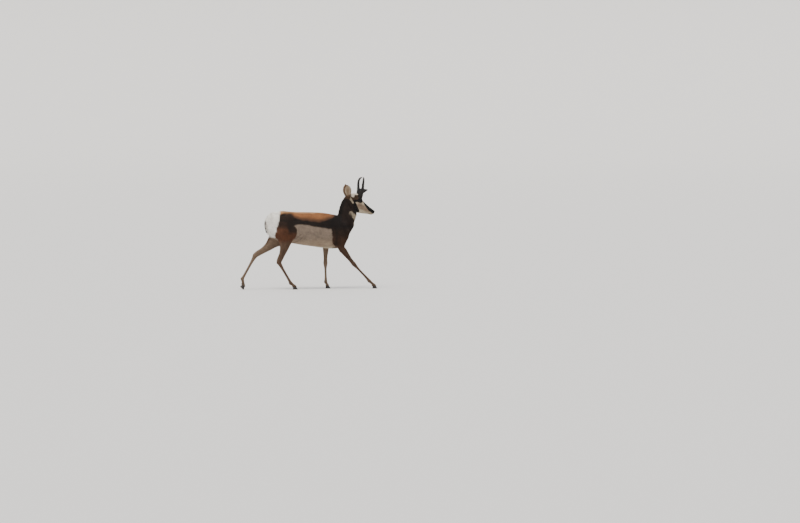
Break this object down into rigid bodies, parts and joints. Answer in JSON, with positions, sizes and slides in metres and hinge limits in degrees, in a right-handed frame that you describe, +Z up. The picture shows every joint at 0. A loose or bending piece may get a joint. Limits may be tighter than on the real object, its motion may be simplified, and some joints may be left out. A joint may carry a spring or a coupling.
{
  "type": "pronghorn",
  "caption": "Life-size still model of a walking pronghorn buck, with pronged horns, upright ears, banded throat and pale rump, standing on its hooves.",
  "frame": {"origin": "on the floor, under the middle of the whole length and width", "axes": "+X forward along the body, +Y to the animal's left, +Z up"},
  "size_m": [1.609, 0.3, 1.2943],
  "materials": {
    "coat": "short coarse hair, tan back, dark neck, pale belly, white rump",
    "horn_sheath": "black keratin sheath, rough and ridged low down, polished at the tips",
    "hoof_horn": "dark keratin with fine growth lines",
    "eye": "wet dark brown eye"
  },
  "bodies": {
    "root": {"torso": "coat", "neck": "coat", "head": "coat", "tail": "coat", "ear_right": "coat", "ear_left": "coat", "leg_fore_right": "coat", "leg_fore_left": "coat", "leg_hind_right": "coat", "leg_hind_left": "coat", "horn_right": "horn_sheath", "horn_left": "horn_sheath", "eye_right": "eye", "eye_left": "eye", "hoof_fore_right_outer": "hoof_horn", "hoof_fore_right_inner": "hoof_horn", "hoof_fore_left_outer": "hoof_horn", "hoof_fore_left_inner": "hoof_horn", "hoof_hind_right_outer": "hoof_horn", "hoof_hind_right_inner": "hoof_horn", "hoof_hind_left_outer": "hoof_horn", "hoof_hind_left_inner": "hoof_horn"}
  },
  "joints": []
}
